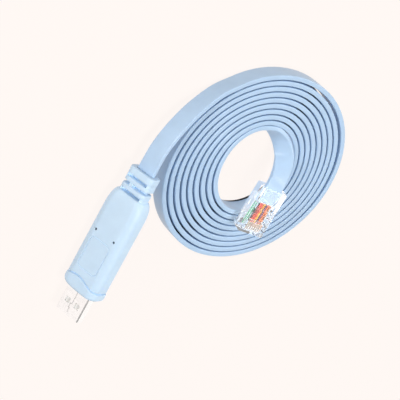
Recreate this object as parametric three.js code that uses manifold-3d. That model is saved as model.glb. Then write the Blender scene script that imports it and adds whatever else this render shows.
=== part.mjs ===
// A flat light-blue console cable: a USB plug in a moulded housing, a ribbon cable wound
// into a flat coil that stands on its edge, and a clear 8-way modular plug at the inner end.
// Millimetres, +Z up. The origin lies on the floor below the middle of the USB plug, and
// +X runs along that plug from its tip to its cable.
import * as THREE from "three";
import { mergeVertices } from "three/addons/utils/BufferGeometryUtils.js";
import Module from "manifold-3d";

const wasm = await Module();
wasm.setup();

// Clearances
const SEAT_GAP = 0.3;
const FIT_GAP = 0.15;

// Metal USB shell
const SHELL_WIDTH = 12;
const SHELL_THICKNESS = 4.5;
const SHELL_WALL = 0.3;
const SHELL_CORNER = 0.6;
const SHELL_EXPOSED = 11.6;
const SHELL_SEATED = 4;
const WINDOW_SIZE = 2.3;
const WINDOW_SPACING = 5.2;
const WINDOW_FROM_TIP = 5.6;

// Insulator and contacts inside the shell
const TONGUE_THICKNESS = 1.8;
const TONGUE_SIDE_GAP = 0.3;
const TONGUE_SETBACK = 0.8;
const CONTACT_COUNT = 4;
const CONTACT_WIDTH = 1.1;
const CONTACT_THICKNESS = 0.25;
const CONTACT_SPACING = 2.3;
const CONTACT_SETBACK = 1.6;
const CONTACT_LENGTH = 9;

// Moulded housing
const HOUSING_WIDTH = 18;
const HOUSING_THICKNESS = 10.5;
const HOUSING_CORNER = 4;
const NOSE_LENGTH = 4.9;
const NOSE_PROUD = 0.3;
const NOSE_WAVE = 0.9;
const NOSE_ROUNDING = 1.5;
const BODY_LENGTH = 41;
const SHOULDER_LENGTH = 8;
const LABEL_LENGTH = 14;
const LABEL_WIDTH = 10;
const LABEL_CORNER = 1;
const LABEL_GROOVE = 0.4;
const LABEL_FROM_NOSE = 5;
const LIGHT_RADIUS = 0.6;
const LIGHT_DEPTH = 1.5;
const LIGHT_SPACING = 10;
const LIGHT_FROM_LABEL = 2.8;

// Slotted strain relief
const RELIEF_WIDTH = 12.6;
const RELIEF_THICKNESS = 7.6;
const RELIEF_CORNER = 2.6;
const SLOT_COUNT = 3;
const SLOT_WIDTH = 1.3;
const RING_WIDTH = 1.9;
const COLLAR_LENGTH = 3;
const SLOT_DEPTH = 1.7;
const SLOT_RAIL = 1.4;
const SLOT_BRIDGE = 1.6;
const SLOT_BRIDGE_OFFSET = 1.6;

// The housing leans back on its narrow side, in degrees from upright
const HOUSING_LEAN = 20.6;
const QUARTER_TURN = 90;

// Ribbon cable and its coil
const CABLE_WIDTH = 8.1;
const CABLE_THICKNESS = 2.5;
const CABLE_SECTION_SIDES = 12;
const COIL_PITCH = 2.8;
const COIL_TURNS = 9;
const COIL_INNER_RADIUS = 18.2;
const COIL_CENTRE = new THREE.Vector2(47, -51.4);
const COIL_SEGMENTS = 48;
const GROOVE_DEPTH = 0.8;
const GROOVE_SHOULDER = 0.7;

// Routes of the two free ends as points on the ribbon's middle: x, y, z and the ribbon's lean away
// from upright in degrees. The tail starts at the strain relief and the lead ends in the clear plug,
// so those points are worked out from the pieces.
const TAIL_ROUTE = [
  [38.8, -0.1, 9.4, HOUSING_LEAN],
  [44.5, -0.6, 9.1, 19],
  [52, -2.6, 8.5, 16],
  [58.6, -5.4, 7.6, 12],
  [64.8, -8.7, 6.6, 8],
  [70.9, -12.8, 5.2, 3],
];
const LEAD_ROUTE = [
  [63.55, -52.4, 4.3, 0],
  [63.1, -55.8, 5.2, -6],
  [61.2, -59.3, 7.6, -22],
  [58, -61.3, 10.6, -44],
  [54, -61.9, 13, -64],
  [49, -61.6, 14.4, -77],
];

// Clear modular plug
const PLUG_LENGTH = 21.5;
const PLUG_WIDTH = 11.7;
const PLUG_THICKNESS = 6.6;
const PLUG_CENTRE = new THREE.Vector3(32.6, -61, 13.7);
const PLUG_PITCH = 4;
const PLUG_ROLL = -11.5;
const PLUG_NOSE_STEP = 1.2;
const PLUG_NOSE_LENGTH = 6.5;
const ENTRY_DEPTH = 9;
const ENTRY_RUN_UP = 1.5;
const WIRE_COUNT = 8;
const WIRE_PITCH = 1.02;
const WIRE_DIAMETER = 0.9;
const WIRE_LENGTH = 10;
const WIRE_HEIGHT = 0.3;
const BLADE_THICKNESS = 0.35;
const BLADE_HEIGHT = 2.4;
const BLADE_LENGTH = 4;
const BLADE_FROM_FRONT = 1.3;
const CRIMP_WINDOW_LENGTH = 3.4;
const CRIMP_WINDOW_WIDTH = 8.6;
const CRIMP_WINDOW_FROM_REAR = 6.4;
const CRIMP_WINDOW_DEPTH = 1.2;
const LATCH_WIDTH = 6;
const LATCH_TIP_WIDTH = 3.2;
const LATCH_THICKNESS = 1;
const LATCH_LENGTH = 14;
const LATCH_SHOULDER = 7.7;
const LATCH_TAPER = 0.7;
const LATCH_ROOT = 2.4;
const LATCH_SETBACK = 1;
const LATCH_SPREAD = 2.6;

// Materials
const housingPlastic = new THREE.MeshStandardMaterial({ color: 0xc4d9ee, roughness: 0.55 });
const cablePlastic = new THREE.MeshStandardMaterial({ color: 0xb7cee9, roughness: 0.5 });
const shellSteel = new THREE.MeshStandardMaterial({ color: 0xd9d6d0, roughness: 0.3, metalness: 1 });
const tonguePlastic = new THREE.MeshStandardMaterial({ color: 0xf2f2ee, roughness: 0.5 });
const contactGold = new THREE.MeshStandardMaterial({ color: 0xd9a441, roughness: 0.3, metalness: 1 });
const clearPlastic = new THREE.MeshStandardMaterial({
  color: 0xeef4f7,
  roughness: 0.1,
  transparent: true,
  opacity: 0.4,
});
const WIRE_COLOURS = [0xc4845c, 0xed7034, 0x5b3356, 0xf0a824, 0xe0502f, 0xbb3a2c, 0x17171a, 0x3aa879];

// Closed solids and their joins

function solidOf(geometry) {
  const bare = geometry.clone();
  bare.deleteAttribute("normal");
  bare.deleteAttribute("uv");
  const merged = mergeVertices(bare, 1e-4);
  return new wasm.Manifold(
    new wasm.Mesh({
      numProp: 3,
      vertProperties: merged.attributes.position.array,
      triVerts: new Uint32Array(merged.index.array),
    }),
  );
}

function geometryOf(solid) {
  const mesh = solid.getMesh();
  const geometry = new THREE.BufferGeometry();
  const positions = new Float32Array(mesh.numVert * 3);
  for (let i = 0; i < mesh.numVert; i++) {
    const start = i * mesh.numProp;
    positions.set(mesh.vertProperties.subarray(start, start + 3), i * 3);
  }
  geometry.setAttribute("position", new THREE.BufferAttribute(positions, 3));
  geometry.setIndex(new THREE.BufferAttribute(mesh.triVerts, 1));
  return geometry;
}

function piece(name, geometry, material) {
  const mesh = new THREE.Mesh(geometry, material);
  mesh.name = name;
  return mesh;
}

// A box between two x values, centred on y and z
function bar(x0, x1, width, thickness, y = 0, z = 0) {
  const geometry = new THREE.BoxGeometry(x1 - x0, width, thickness);
  return geometry.translate((x0 + x1) / 2, y, z);
}

// An outline with round corners in the plane of a section
function roundedShape(width, height, corner, pointsPerCorner) {
  const shape = new THREE.Shape();
  const points = [];
  for (let quarter = 0; quarter < 4; quarter++) {
    const sideX = quarter === 0 || quarter === 3 ? 1 : -1;
    const sideY = quarter < 2 ? 1 : -1;
    for (let i = 0; i <= pointsPerCorner; i++) {
      const angle = (quarter + i / pointsPerCorner) * (Math.PI / 2);
      points.push(
        new THREE.Vector2(
          sideX * (width / 2 - corner) + corner * Math.cos(angle),
          sideY * (height / 2 - corner) + corner * Math.sin(angle),
        ),
      );
    }
  }
  shape.setFromPoints(points);
  return shape;
}

// A section drawn in local y and z, carried along x: place(t) gives x and the section's scales
function loft(shape, steps, place) {
  const geometry = new THREE.ExtrudeGeometry(shape, { depth: 1, steps, bevelEnabled: false });
  const position = geometry.attributes.position;
  for (let i = 0; i < position.count; i++) {
    const at = place(position.getZ(i));
    position.setXYZ(i, at.x, position.getX(i) * at.width, position.getY(i) * at.thickness);
  }
  return geometry;
}

// A ribbon's section carried along a route: the plan direction, the height and the lean turn it
function ribbonAlong(route) {
  const middle = new THREE.CatmullRomCurve3(
    route.map(([x, y, z]) => new THREE.Vector3(x, y, z)),
    false,
    "centripetal",
  );
  const corner = CABLE_THICKNESS / 2 - 0.01;
  const shape = roundedShape(CABLE_THICKNESS, CABLE_WIDTH, corner, CABLE_SECTION_SIDES / 4 - 1);
  const steps = 2 * (route.length - 1);
  const geometry = new THREE.ExtrudeGeometry(shape, { depth: 1, steps, bevelEnabled: false });
  const position = geometry.attributes.position;
  const up = new THREE.Vector3(0, 0, 1);
  for (let i = 0; i < position.count; i++) {
    const t = position.getZ(i);
    const along = middle.getTangent(t);
    const legs = t * (route.length - 1);
    const leg = Math.min(Math.floor(legs), route.length - 2);
    const lean = THREE.MathUtils.lerp(route[leg][3], route[leg + 1][3], legs - leg);
    const side = new THREE.Vector3().crossVectors(up, along).normalize();
    const rise = new THREE.Vector3().crossVectors(along, side);
    side.applyAxisAngle(along, THREE.MathUtils.degToRad(lean));
    rise.applyAxisAngle(along, THREE.MathUtils.degToRad(lean));
    const point = middle
      .getPoint(t)
      .addScaledVector(side, position.getX(i))
      .addScaledVector(rise, position.getY(i));
    position.setXYZ(i, point.x, point.y, point.z);
  }
  return geometry;
}

// USB plug, built along x from its tip, with y across its width and z through its thickness

const noseStart = SHELL_EXPOSED;
const noseEnd = noseStart + NOSE_LENGTH;
const bodyEnd = noseStart + NOSE_LENGTH + BODY_LENGTH;
const reliefLength = SLOT_COUNT * SLOT_WIDTH + (SLOT_COUNT - 1) * RING_WIDTH + COLLAR_LENGTH;
const reliefEnd = bodyEnd + reliefLength;
const shellEnd = SHELL_EXPOSED + SHELL_SEATED;

function usbShell() {
  const outer = loft(roundedShape(SHELL_WIDTH, SHELL_THICKNESS, SHELL_CORNER, 3), 1, (t) => ({
    x: t * shellEnd,
    width: 1,
    thickness: 1,
  }));
  const innerShape = roundedShape(
    SHELL_WIDTH - 2 * SHELL_WALL,
    SHELL_THICKNESS - 2 * SHELL_WALL,
    SHELL_CORNER - SHELL_WALL,
    3,
  );
  const inner = loft(innerShape, 1, (t) => ({
    x: -1 + t * (shellEnd + 1 - SHELL_WALL),
    width: 1,
    thickness: 1,
  }));
  let shell = solidOf(outer).subtract(solidOf(inner));
  const x0 = WINDOW_FROM_TIP - WINDOW_SIZE / 2;
  for (const side of [-1, 1]) {
    const y = (side * WINDOW_SPACING) / 2;
    const windows = bar(x0, x0 + WINDOW_SIZE, WINDOW_SIZE, 2 * SHELL_THICKNESS, y);
    shell = shell.subtract(solidOf(windows));
  }
  return geometryOf(shell);
}

const tongueWidth = SHELL_WIDTH - 2 * SHELL_WALL - 2 * TONGUE_SIDE_GAP;
const tongueMiddle = SHELL_THICKNESS / 2 - SHELL_WALL - FIT_GAP - TONGUE_THICKNESS / 2;
const contactFace = tongueMiddle - TONGUE_THICKNESS / 2;

function usbTongue() {
  const end = shellEnd - SHELL_WALL - FIT_GAP;
  return bar(TONGUE_SETBACK, end, tongueWidth, TONGUE_THICKNESS, 0, tongueMiddle);
}

function usbContact(index) {
  const y = (index - (CONTACT_COUNT - 1) / 2) * CONTACT_SPACING;
  const z = contactFace - FIT_GAP - CONTACT_THICKNESS / 2;
  const end = CONTACT_SETBACK + CONTACT_LENGTH;
  return bar(CONTACT_SETBACK, end, CONTACT_WIDTH, CONTACT_THICKNESS, y, z);
}

// How much the housing has drawn in towards the strain relief, from 0 to 1
function shoulder(x) {
  const t = THREE.MathUtils.clamp((x - (bodyEnd - SHOULDER_LENGTH)) / SHOULDER_LENGTH, 0, 1);
  return 1 - Math.sqrt(1 - t * t);
}

function housingBody() {
  const shape = roundedShape(HOUSING_WIDTH, HOUSING_THICKNESS, HOUSING_CORNER, 6);
  const steps = 14;
  const straight = bodyEnd - SHOULDER_LENGTH - noseStart - NOSE_ROUNDING;
  return loft(shape, steps, (t) => {
    const step = Math.round(t * steps);
    let x = noseStart + NOSE_ROUNDING;
    let draw = 0;
    if (step > 3) {
      const turn = ((step - 4) / (steps - 4)) * (Math.PI / 2);
      x += straight + SHOULDER_LENGTH * Math.sin(turn);
      draw = shoulder(x);
    } else if (step > 0) {
      x += (straight * step) / 3 - (step === 3 ? straight * 0.05 : 0);
    }
    const narrow = HOUSING_WIDTH - RELIEF_WIDTH;
    const thin = HOUSING_THICKNESS - RELIEF_THICKNESS;
    return {
      x,
      width: 1 - (draw * narrow) / HOUSING_WIDTH,
      thickness: 1 - (draw * thin) / HOUSING_THICKNESS,
    };
  });
}

// The nose cap stands a little proud and ends in an S-shaped step across the wide faces
function noseCap() {
  const width = HOUSING_WIDTH + 2 * NOSE_PROUD;
  const thickness = HOUSING_THICKNESS + 2 * NOSE_PROUD;
  const shape = roundedShape(width, thickness, HOUSING_CORNER + NOSE_PROUD, 6);
  const steps = 5;
  const blank = loft(shape, steps, (t) => {
    const step = Math.round(t * steps);
    if (step === steps) {
      return { x: noseEnd + 2 * NOSE_WAVE, width: 1, thickness: 1 };
    }
    const turn = (step / (steps - 1)) * (Math.PI / 2);
    const inset = NOSE_ROUNDING * (1 - Math.sin(turn));
    return {
      x: noseStart + NOSE_ROUNDING * (1 - Math.cos(turn)),
      width: 1 - (2 * inset) / width,
      thickness: 1 - (2 * inset) / thickness,
    };
  });
  const wave = new THREE.Shape();
  wave.moveTo(noseEnd + 6 * NOSE_WAVE, width);
  const points = 24;
  for (let i = 0; i <= points; i++) {
    const y = width * (1 - (2 * i) / points);
    const swing = THREE.MathUtils.clamp(y / (HOUSING_WIDTH / 2), -1, 1);
    wave.lineTo(noseEnd + NOSE_WAVE * Math.sin(swing * Math.PI * 0.75), y);
  }
  wave.lineTo(noseEnd + 6 * NOSE_WAVE, -width);
  const cutter = new THREE.ExtrudeGeometry(wave, {
    depth: 2 * thickness,
    steps: 1,
    bevelEnabled: false,
  }).translate(0, 0, -thickness);
  return solidOf(blank).subtract(solidOf(cutter));
}

function labelGroove() {
  const x0 = noseEnd + LABEL_FROM_NOSE;
  const outer = roundedShape(LABEL_LENGTH, LABEL_WIDTH, LABEL_CORNER, 4);
  const inner = roundedShape(
    LABEL_LENGTH - 2 * LABEL_GROOVE,
    LABEL_WIDTH - 2 * LABEL_GROOVE,
    LABEL_CORNER - LABEL_GROOVE,
    4,
  );
  outer.holes.push(inner);
  const depth = 2 * LABEL_GROOVE;
  return new THREE.ExtrudeGeometry(outer, { depth, steps: 1, bevelEnabled: false }).translate(
    x0 + LABEL_LENGTH / 2,
    0,
    HOUSING_THICKNESS / 2 - LABEL_GROOVE,
  );
}

function plugHousing() {
  const relief = loft(
    roundedShape(RELIEF_WIDTH, RELIEF_THICKNESS, RELIEF_CORNER, 4),
    1,
    (t) => ({ x: bodyEnd - 1 + t * (reliefLength + 1), width: 1, thickness: 1 }),
  );
  let housing = solidOf(housingBody()).add(noseCap()).add(solidOf(relief));
  housing = housing.subtract(solidOf(labelGroove()));
  const lightX = noseEnd + LABEL_FROM_NOSE + LABEL_LENGTH + LIGHT_FROM_LABEL;
  for (const side of [-1, 1]) {
    const light = new THREE.CylinderGeometry(LIGHT_RADIUS, LIGHT_RADIUS, 2 * LIGHT_DEPTH, 12);
    light.rotateX(Math.PI / 2);
    light.translate(lightX, (side * LIGHT_SPACING) / 2, HOUSING_THICKNESS / 2);
    housing = housing.subtract(solidOf(light));
  }
  for (let slot = 0; slot < SLOT_COUNT; slot++) {
    const x0 = bodyEnd + slot * (SLOT_WIDTH + RING_WIDTH);
    const x1 = x0 + SLOT_WIDTH;
    const open = RELIEF_WIDTH / 2 - SLOT_RAIL;
    for (const face of [-1, 1]) {
      const z = (face * (RELIEF_THICKNESS + 1)) / 2 - (face * (SLOT_DEPTH - 0.5)) / 2;
      const deep = SLOT_DEPTH + 0.5;
      if (slot % 2 === 0) {
        housing = housing.subtract(solidOf(bar(x0, x1, 2 * open, deep, 0, z)));
        continue;
      }
      for (const side of [-1, 1]) {
        const outside = RELIEF_WIDTH / 2 + 1 - side * SLOT_BRIDGE_OFFSET;
        const length = outside - SLOT_BRIDGE / 2;
        const y = SLOT_BRIDGE_OFFSET + side * (SLOT_BRIDGE / 2 + length / 2);
        housing = housing.subtract(solidOf(bar(x0, x1, length, deep, y, z)));
      }
    }
  }
  const socket = bar(
    noseStart - 1,
    shellEnd + SEAT_GAP,
    SHELL_WIDTH + 2 * FIT_GAP,
    SHELL_THICKNESS + 2 * FIT_GAP,
  );
  return geometryOf(housing.subtract(solidOf(socket)));
}

// Cable

function coil() {
  const top = CABLE_WIDTH;
  const points = [new THREE.Vector2(COIL_INNER_RADIUS, GROOVE_DEPTH)];
  for (const level of [0, 1]) {
    for (let i = 0; i < COIL_TURNS; i++) {
      const turn = level ? COIL_TURNS - 1 - i : i;
      const inner = COIL_INNER_RADIUS + turn * COIL_PITCH;
      const z = level ? top : 0;
      const near = level ? inner + COIL_PITCH - GROOVE_SHOULDER : inner + GROOVE_SHOULDER;
      const far = level ? inner + GROOVE_SHOULDER : inner + COIL_PITCH - GROOVE_SHOULDER;
      const end = level ? inner : inner + COIL_PITCH;
      points.push(new THREE.Vector2(near, z), new THREE.Vector2(far, z));
      points.push(new THREE.Vector2(end, level ? top - GROOVE_DEPTH : GROOVE_DEPTH));
    }
    if (!level) {
      const outer = COIL_INNER_RADIUS + COIL_TURNS * COIL_PITCH;
      points.push(new THREE.Vector2(outer, top - GROOVE_DEPTH));
    }
  }
  points.push(points[0].clone());
  const ring = new THREE.LatheGeometry(points, COIL_SEGMENTS);
  ring.rotateX(Math.PI / 2);
  return geometryOf(solidOf(ring));
}

// Modular plug, built along x from its front face, with y across it and z towards its contacts

const wireZ = WIRE_HEIGHT;
const plugTop = PLUG_THICKNESS / 2;
const wireEnd = PLUG_LENGTH - ENTRY_DEPTH;

function wireY(index) {
  return (index - (WIRE_COUNT - 1) / 2) * WIRE_PITCH;
}

function modularPlug() {
  const block = bar(0, PLUG_LENGTH, PLUG_WIDTH, PLUG_THICKNESS);
  let plug = solidOf(block);
  const entry = bar(
    PLUG_LENGTH - ENTRY_DEPTH,
    PLUG_LENGTH + 1,
    CABLE_WIDTH + 2 * SEAT_GAP,
    CABLE_THICKNESS + 2 * SEAT_GAP,
    0,
    wireZ,
  );
  plug = plug.subtract(solidOf(entry));
  const channel = bar(
    wireEnd - WIRE_LENGTH - SEAT_GAP,
    wireEnd + 1,
    WIRE_COUNT * WIRE_PITCH + FIT_GAP,
    WIRE_DIAMETER + 2 * FIT_GAP,
    0,
    wireZ,
  );
  plug = plug.subtract(solidOf(channel));
  const noseCut = bar(-1, PLUG_NOSE_LENGTH, PLUG_WIDTH + 2, PLUG_NOSE_STEP, 0, -plugTop);
  plug = plug.subtract(solidOf(noseCut));
  for (let i = 0; i < WIRE_COUNT; i++) {
    const slot = bar(
      BLADE_FROM_FRONT - FIT_GAP,
      BLADE_FROM_FRONT + BLADE_LENGTH + FIT_GAP,
      BLADE_THICKNESS + 2 * FIT_GAP,
      BLADE_HEIGHT + 1,
      wireY(i),
      plugTop - (BLADE_HEIGHT - 1) / 2,
    );
    plug = plug.subtract(solidOf(slot));
  }
  const windowEnd = PLUG_LENGTH - CRIMP_WINDOW_FROM_REAR;
  const crimp = bar(
    windowEnd - CRIMP_WINDOW_LENGTH,
    windowEnd,
    CRIMP_WINDOW_WIDTH,
    2 * CRIMP_WINDOW_DEPTH,
    0,
    plugTop,
  );
  plug = plug.subtract(solidOf(crimp));
  const latch = new THREE.Shape();
  latch.moveTo(0, -LATCH_WIDTH / 2);
  latch.lineTo(LATCH_SHOULDER, -LATCH_WIDTH / 2);
  latch.lineTo(LATCH_SHOULDER + LATCH_TAPER, -LATCH_TIP_WIDTH / 2);
  latch.lineTo(LATCH_LENGTH, -LATCH_TIP_WIDTH / 2);
  latch.lineTo(LATCH_LENGTH, LATCH_TIP_WIDTH / 2);
  latch.lineTo(LATCH_SHOULDER + LATCH_TAPER, LATCH_TIP_WIDTH / 2);
  latch.lineTo(LATCH_SHOULDER, LATCH_WIDTH / 2);
  latch.lineTo(0, LATCH_WIDTH / 2);
  const tab = new THREE.ExtrudeGeometry(latch, {
    depth: LATCH_THICKNESS,
    steps: 1,
    bevelEnabled: false,
  });
  tab.rotateY(Math.atan2(LATCH_SPREAD, LATCH_LENGTH));
  const latchTop = -plugTop + PLUG_NOSE_STEP / 2;
  tab.translate(LATCH_SETBACK, 0, latchTop - LATCH_THICKNESS);
  plug = plug.add(solidOf(tab));
  const rootEnd = LATCH_SETBACK + LATCH_ROOT;
  const root = bar(LATCH_SETBACK, rootEnd, LATCH_WIDTH, 2 * LATCH_THICKNESS, 0, latchTop);
  return geometryOf(plug.add(solidOf(root)));
}

function plugWire(index) {
  const radius = WIRE_DIAMETER / 2;
  const wire = new THREE.CylinderGeometry(radius, radius, WIRE_LENGTH, 8);
  wire.rotateZ(Math.PI / 2);
  return wire.translate(wireEnd - WIRE_LENGTH / 2, wireY(index), wireZ);
}

function plugBlade(index) {
  const z = plugTop - BLADE_HEIGHT / 2 - FIT_GAP;
  const end = BLADE_FROM_FRONT + BLADE_LENGTH;
  return bar(BLADE_FROM_FRONT, end, BLADE_THICKNESS, BLADE_HEIGHT - 2 * FIT_GAP, wireY(index), z);
}

// Assembly

const cable = new THREE.Group();

const usbPlug = new THREE.Group();
usbPlug.add(piece("usb_shell", usbShell(), shellSteel));
usbPlug.add(piece("usb_tongue", usbTongue(), tonguePlastic));
for (let i = 0; i < CONTACT_COUNT; i++) {
  usbPlug.add(piece(`usb_contact_${i + 1}`, usbContact(i), contactGold));
}
usbPlug.add(piece("plug_housing", plugHousing(), housingPlastic));
usbPlug.rotation.x = THREE.MathUtils.degToRad(HOUSING_LEAN - QUARTER_TURN);
const lying = new THREE.Box3().setFromObject(usbPlug, true);
usbPlug.position.set(
  -(lying.min.x + lying.max.x) / 2,
  -(lying.min.y + lying.max.y) / 2,
  -lying.min.z,
);
cable.add(usbPlug);

const coilMesh = piece("cable_coil", coil(), cablePlastic);
coilMesh.position.set(COIL_CENTRE.x, COIL_CENTRE.y, 0);
cable.add(coilMesh);
const exit = [reliefEnd + usbPlug.position.x + SEAT_GAP, 0, usbPlug.position.z];
const tailRoute = [[...exit, HOUSING_LEAN], ...TAIL_ROUTE];
cable.add(piece("cable_tail", ribbonAlong(tailRoute), cablePlastic));

const modular = new THREE.Group();
modular.add(piece("rj45_body", modularPlug(), clearPlastic));
for (let i = 0; i < WIRE_COUNT; i++) {
  const colour = new THREE.MeshStandardMaterial({ color: WIRE_COLOURS[i], roughness: 0.5 });
  modular.add(piece(`wire_${i + 1}`, plugWire(i), colour));
  modular.add(piece(`rj45_contact_${i + 1}`, plugBlade(i), contactGold));
}
modular.children.forEach((mesh) => mesh.geometry.translate(-PLUG_LENGTH / 2, 0, 0));
modular.rotation.set(THREE.MathUtils.degToRad(PLUG_ROLL), THREE.MathUtils.degToRad(-PLUG_PITCH), 0);
modular.position.copy(PLUG_CENTRE);
modular.updateMatrixWorld();
cable.add(modular);

const entryLean = -QUARTER_TURN - PLUG_ROLL;
const entryRoute = [PLUG_LENGTH + ENTRY_RUN_UP, PLUG_LENGTH - ENTRY_DEPTH + SEAT_GAP].map((x) => {
  const point = modular.localToWorld(new THREE.Vector3(x - PLUG_LENGTH / 2, 0, WIRE_HEIGHT));
  return [...point.toArray(), entryLean];
});
cable.add(piece("cable_lead", ribbonAlong([...LEAD_ROUTE, ...entryRoute]), cablePlastic));

export default cable;
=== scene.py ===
"""Looks of a flat light-blue console cable.

A USB plug in a moulded housing, a ribbon cable wound into a flat coil that stands on its edge, and a
clear 8-way modular plug at the inner end. Lengths are millimetres in the classes and metres in the scene.
"""

from __future__ import annotations

import logging
import math
from collections.abc import Callable, Iterable, Sequence
from dataclasses import dataclass, field
from enum import Enum

import bmesh
import bpy
from mathutils import Matrix, Vector

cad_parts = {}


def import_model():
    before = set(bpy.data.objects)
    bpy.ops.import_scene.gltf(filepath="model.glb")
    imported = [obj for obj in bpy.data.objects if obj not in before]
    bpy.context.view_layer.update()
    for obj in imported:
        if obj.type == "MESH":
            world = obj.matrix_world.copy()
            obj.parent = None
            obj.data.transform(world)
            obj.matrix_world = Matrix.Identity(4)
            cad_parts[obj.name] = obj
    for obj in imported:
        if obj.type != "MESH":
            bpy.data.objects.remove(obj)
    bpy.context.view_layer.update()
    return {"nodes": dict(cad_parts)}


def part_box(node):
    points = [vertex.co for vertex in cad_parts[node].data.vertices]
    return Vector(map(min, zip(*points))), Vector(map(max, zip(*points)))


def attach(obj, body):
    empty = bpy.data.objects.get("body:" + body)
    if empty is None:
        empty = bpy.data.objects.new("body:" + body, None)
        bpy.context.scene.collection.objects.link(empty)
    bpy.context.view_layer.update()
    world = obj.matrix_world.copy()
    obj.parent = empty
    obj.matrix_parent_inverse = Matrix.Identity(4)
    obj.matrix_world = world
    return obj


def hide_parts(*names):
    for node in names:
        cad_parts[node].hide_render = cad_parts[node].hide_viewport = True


log = logging.getLogger("console_cable")

MM = 0.001
BODY = "root"
QUARTER_TURN = 90.0
TURN = 360.0

Point = tuple[float, float, float]
Pair = tuple[float, float]
RoutePoint = tuple[float, float, float, float]
Object = bpy.types.Object
Finish = bpy.types.Material
Socket = bpy.types.NodeSocket
Tree = bpy.types.NodeTree


class Slot(Enum):
    """Material slots of the record, by name."""

    HOUSING = "housing_plastic"
    JACKET = "cable_jacket"
    STEEL = "plug_steel"
    CLEAR = "clear_plastic"
    GOLD = "contact_gold"


# Shared mesh helpers


def shown(mesh: bpy.types.Mesh) -> Object:
    """Puts a mesh into the scene as an object of its own name, at the origin."""
    piece = bpy.data.objects.new(mesh.name, mesh)
    bpy.context.scene.collection.objects.link(piece)
    return piece


def mesh_of(name: str, points: Iterable[Sequence[float]], faces: Iterable[Sequence[int]]) -> bpy.types.Mesh:
    """Makes a mesh with smooth faces that point outwards.

    Args:
        name: Name of the mesh.
        points: Corner points, in metres.
        faces: Corners of each face, by number.

    Returns:
        The mesh.
    """
    mesh = bpy.data.meshes.new(name)
    mesh.from_pydata([tuple(p) for p in points], [], [tuple(f) for f in faces])
    turned = bmesh.new()
    turned.from_mesh(mesh)
    bmesh.ops.recalc_face_normals(turned, faces=turned.faces)
    turned.to_mesh(mesh)
    turned.free()
    mesh.shade_smooth()
    return mesh


def line_of(name: str, points: Sequence[Vector]) -> bpy.types.Mesh:
    """Makes a mesh of edges that run through some points in order."""
    mesh = bpy.data.meshes.new(name)
    mesh.from_pydata([tuple(p) for p in points], [(i, i + 1) for i in range(len(points) - 1)], [])
    return mesh


def lofted(name: str, rings: Sequence[Sequence[Vector]], closed: bool = False) -> bpy.types.Mesh:
    """Joins rings of equal length into one closed skin.

    Args:
        name: Name of the mesh.
        rings: Closed rings of points, in metres.
        closed: Whether the last ring joins the first one; otherwise both ends are flat.

    Returns:
        The mesh.
    """
    count = len(rings[0])
    spans = len(rings) if closed else len(rings) - 1
    faces: list[Sequence[int]] = []
    for i in range(spans):
        here, ahead = i * count, (i + 1) % len(rings) * count
        for j in range(count):
            k = (j + 1) % count
            faces.append((here + j, here + k, ahead + k, ahead + j))
    if not closed:
        faces.append(tuple(reversed(range(count))))
        faces.append(tuple(range(spans * count, (spans + 1) * count)))
    return mesh_of(name, [p for ring in rings for p in ring], faces)


def prism_faces(count: int) -> list[Sequence[int]]:
    """Faces of a prism whose first end is points 0 to count - 1 and whose other end follows."""
    ends = [tuple(range(count)), tuple(reversed(range(count, 2 * count)))]
    return ends + [(i, (i + 1) % count, (i + 1) % count + count, i + count) for i in range(count)]


def outline_of(width: float, height: float, corner: float, steps: tuple[int, int, int]) -> list[Vector]:
    """Points round a rectangle with round corners.

    Args:
        width: Full width.
        height: Full height.
        corner: Corner radius.
        steps: Steps on each corner, on each side along the width, and on each side along the height.

    Returns:
        The points, counter-clockwise.
    """
    flat = 0.01
    corner = min(corner, width / 2 - flat, height / 2 - flat)
    half_w, half_h = width / 2 - corner, height / 2 - corner
    middles = [(half_w, half_h), (-half_w, half_h), (-half_w, -half_h), (half_w, -half_h)]
    points: list[Vector] = []
    for quarter, (mx, my) in enumerate(middles):
        for i in range(steps[0] + 1):
            angle = (quarter + i / steps[0]) * math.pi / 2
            points.append(Vector((mx + corner * math.cos(angle), my + corner * math.sin(angle))))
        nx, ny = middles[(quarter + 1) % 4]
        angle = (quarter + 1) * math.pi / 2
        end = Vector((nx + corner * math.cos(angle), ny + corner * math.sin(angle)))
        start = points[-1]
        along = steps[2] if quarter % 2 else steps[1]
        points.extend(start.lerp(end, i / along) for i in range(1, along))
    return points


def joined(name: str, parts: Sequence[Object], finish: Finish) -> Object:
    """Joins objects that don't touch into one piece.

    Args:
        name: Name of the piece.
        parts: The objects, which are removed.
        finish: Material of the piece.

    Returns:
        The piece.
    """
    together = bmesh.new()
    for part in parts:
        together.from_mesh(part.data)
    mesh = bpy.data.meshes.new(name)
    together.to_mesh(mesh)
    together.free()
    mesh.materials.append(finish)
    for part in parts:
        bpy.data.objects.remove(part)
    return shown(mesh)


def block(name: str, low: Point, high: Point, place: Matrix) -> Object:
    """Makes a box between two corners of a local frame.

    Args:
        name: Name of the object.
        low: Lowest corner, in millimetres.
        high: Highest corner, in millimetres.
        place: Local frame.

    Returns:
        The box as an object.
    """
    corners = [(x, y, z) for x in (low[0], high[0]) for y in (low[1], high[1]) for z in (low[2], high[2])]
    faces = [(0, 1, 3, 2), (4, 6, 7, 5), (0, 4, 5, 1), (2, 3, 7, 6), (0, 2, 6, 4), (1, 5, 7, 3)]
    return shown(mesh_of(name, [place @ (Vector(c) * MM) for c in corners], faces))


def baked(piece: Object) -> Object:
    """Turns a piece with modifiers into a plain mesh.

    Args:
        piece: The piece with live modifiers.

    Returns:
        The same object, with its modifiers' result as its mesh.
    """
    bpy.context.view_layer.update()
    graph = bpy.context.evaluated_depsgraph_get()
    seen = piece.evaluated_get(graph)
    mesh = bpy.data.meshes.new_from_object(seen, preserve_all_data_layers=True, depsgraph=graph)
    mesh.name = piece.name
    piece.modifiers.clear()
    piece.data = mesh
    return piece


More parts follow.
